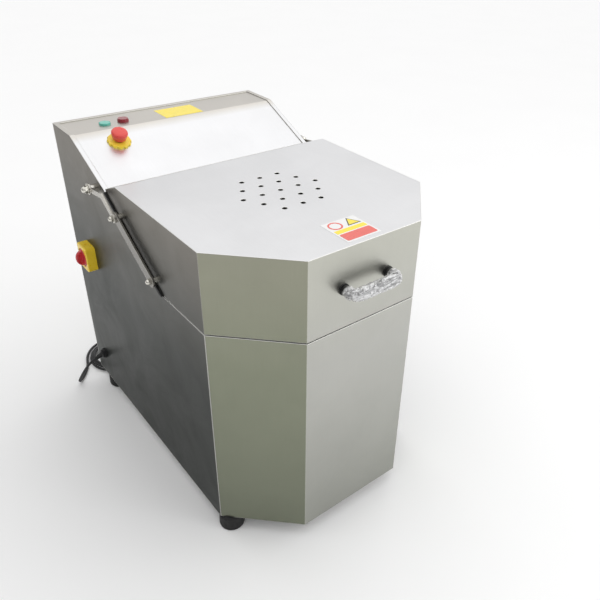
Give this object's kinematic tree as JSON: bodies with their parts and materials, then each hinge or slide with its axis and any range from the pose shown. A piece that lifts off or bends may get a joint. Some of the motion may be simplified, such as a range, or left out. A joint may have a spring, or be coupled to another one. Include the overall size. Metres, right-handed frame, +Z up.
{
  "type": "vegetable dicer",
  "caption": "Floor-standing batch vegetable dicer: chamfered sheet-steel casing, lid raised on two side arms, spinning impeller in a ring of knives, lift-out pan.",
  "frame": {"origin": "on the floor under the middle of the casing, in the plane of the feet", "axes": "+Z up, the handle side faces -Y, +X to the right of a person standing at the handle"},
  "size_m": [0.7185, 1.125, 0.8563],
  "materials": {
    "stainless_sheet": "brushed, slightly mottled",
    "stainless_polished": "fine ground",
    "blade_steel": "ground edges",
    "plated_steel": "bright",
    "frame_steel": "grey paint",
    "cast_metal": "machined casting",
    "motor_paint": "satin paint",
    "black_rubber": "matte",
    "black_handle": "satin",
    "black_plastic": "matte",
    "grey_plastic": "matte",
    "yellow_plastic": "semi-gloss",
    "red_plastic": "semi-gloss",
    "green_plastic": "semi-gloss",
    "yellow_label": "film",
    "white_label": "film",
    "cord_pvc": "satin"
  },
  "bodies": {
    "casing": {"base_frame": "frame_steel", "floor_plate": "stainless_sheet", "left_side_panel": "stainless_sheet", "right_side_panel": "stainless_sheet", "front_panel": "stainless_sheet", "rear_panel": "stainless_sheet", "console_panel": "stainless_sheet", "deck_plate": "stainless_sheet", "rubber_feet": "black_rubber", "foot_bolts": "plated_steel", "tub": "stainless_sheet", "drain_spout": "stainless_sheet", "bearing_housing": "cast_metal", "spindle_bearings": "plated_steel", "spindle_seal": "black_rubber", "head_base": "stainless_polished", "head_frame": "stainless_polished", "dicing_knives": "blade_steel", "separator_rings": "blade_steel", "feed_collar": "stainless_polished", "drive_belt": "black_rubber", "cross_rails": "frame_steel", "spindle_bridge": "frame_steel", "motor_plate": "frame_steel", "motor_housing": "motor_paint", "motor_fan_cover": "motor_paint", "control_box": "grey_plastic", "pivot_studs": "plated_steel", "pivot_nuts": "plated_steel", "button_bezels": "plated_steel", "estop_collar": "yellow_plastic", "contact_blocks": "black_plastic", "isolator_bezel": "yellow_plastic", "rating_label": "yellow_label", "cable_gland": "black_plastic", "strain_relief": "black_rubber", "power_cord": "cord_pvc", "cord_coil": "cord_pvc", "mains_plug": "black_rubber"},
    "lid": {"lid_shell": "stainless_sheet", "lid_seal": "black_rubber", "lid_handle": "black_handle", "lid_label": "white_label", "rear_arms": "stainless_polished", "front_arms": "stainless_polished", "arm_spacers": "plated_steel", "arm_bolts": "plated_steel"},
    "cutting_rotor": {"impeller": "stainless_polished", "impeller_nut": "stainless_polished", "spindle": "plated_steel", "driven_pulley": "cast_metal"},
    "motor_rotor": {"motor_shaft": "plated_steel", "motor_pulley": "cast_metal"},
    "collecting_pan": {"pan": "stainless_polished", "pan_handles": "stainless_polished"},
    "start_button": {"start_button": "green_plastic"},
    "stop_button": {"stop_button": "red_plastic"},
    "estop_stem": {"estop_stem": "black_plastic"},
    "estop_button": {"estop_button": "red_plastic"},
    "isolator_knob": {"isolator_knob": "red_plastic"}
  },
  "joints": [
    {"name": "lid_hinge", "type": "hinge", "parent": "casing", "child": "lid", "pos_m": [0, 0.2, 0.75], "axis": [-1, 0, 0], "range_deg": [0, 75]},
    {"name": "spindle_spin", "type": "hinge", "parent": "casing", "child": "cutting_rotor", "pos_m": [0, -0.149, 0.3], "axis": [0, 0, 1], "continuous": true},
    {"name": "motor_spin", "type": "hinge", "parent": "casing", "child": "motor_rotor", "pos_m": [0, 0.29, 0.2], "axis": [0, 0, 1], "continuous": true},
    {"name": "pan_lift", "type": "slide", "parent": "casing", "child": "collecting_pan", "axis": [0, 0, 1], "range_m": [0, 0.15]},
    {"name": "start_press", "type": "slide", "parent": "casing", "child": "start_button", "axis": [0, 0, -1], "range_m": [0, 0.003], "stiffness_N_per_m": 300, "springref_m": -0.004},
    {"name": "stop_press", "type": "slide", "parent": "casing", "child": "stop_button", "axis": [0, 0, -1], "range_m": [0, 0.003], "stiffness_N_per_m": 300, "springref_m": -0.004},
    {"name": "estop_push", "type": "slide", "parent": "casing", "child": "estop_stem", "axis": [0, 0.408, -0.913], "range_m": [0, 0.0045], "stiffness_N_per_m": 800, "springref_m": -0.004},
    {"name": "estop_twist", "type": "hinge", "parent": "estop_stem", "child": "estop_button", "pos_m": [-0.194, 0.286, 0.8197], "axis": [0, 0.408, -0.913], "range_deg": [0, 45], "stiffness_Nm_per_rad": 0.08},
    {"name": "isolator_turn", "type": "hinge", "parent": "casing", "child": "isolator_knob", "pos_m": [-0.3, 0.33, 0.505], "axis": [-1, 0, 0], "range_deg": [0, 90]}
  ],
  "couplings": [
    {"joint": "motor_spin", "follows": "spindle_spin", "ratio": 1.6667}
  ]
}
